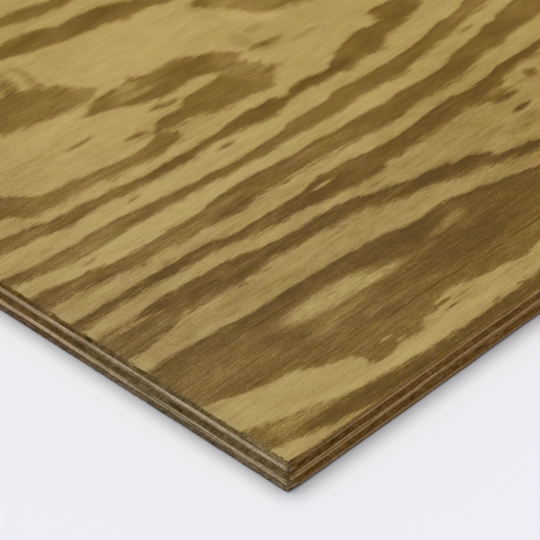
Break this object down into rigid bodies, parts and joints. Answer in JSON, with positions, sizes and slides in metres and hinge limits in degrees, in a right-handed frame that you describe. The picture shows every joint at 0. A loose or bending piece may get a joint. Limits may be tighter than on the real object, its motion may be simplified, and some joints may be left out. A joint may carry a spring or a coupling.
{
  "type": "plywood sheet",
  "caption": "Rectangular sheet of softwood plywood: cross-laminated pine veneers glued face to face, with square sawn edges that show the plies.",
  "frame": {"origin": "middle of the back face, on the surface that the sheet lies on", "axes": "+X along the sheet's length, which is the face grain, +Y across it, +Z out of the face"},
  "size_m": [2.4384, 1.2192, 0.0151],
  "materials": {
    "face_veneer": "matte",
    "crossband": "matte",
    "core_veneer": "matte",
    "back_veneer": "matte"
  },
  "bodies": {
    "root": {"back_veneer": "back_veneer", "crossband_lower": "crossband", "core_veneer": "core_veneer", "crossband_upper": "crossband", "face_veneer": "face_veneer"}
  },
  "joints": []
}
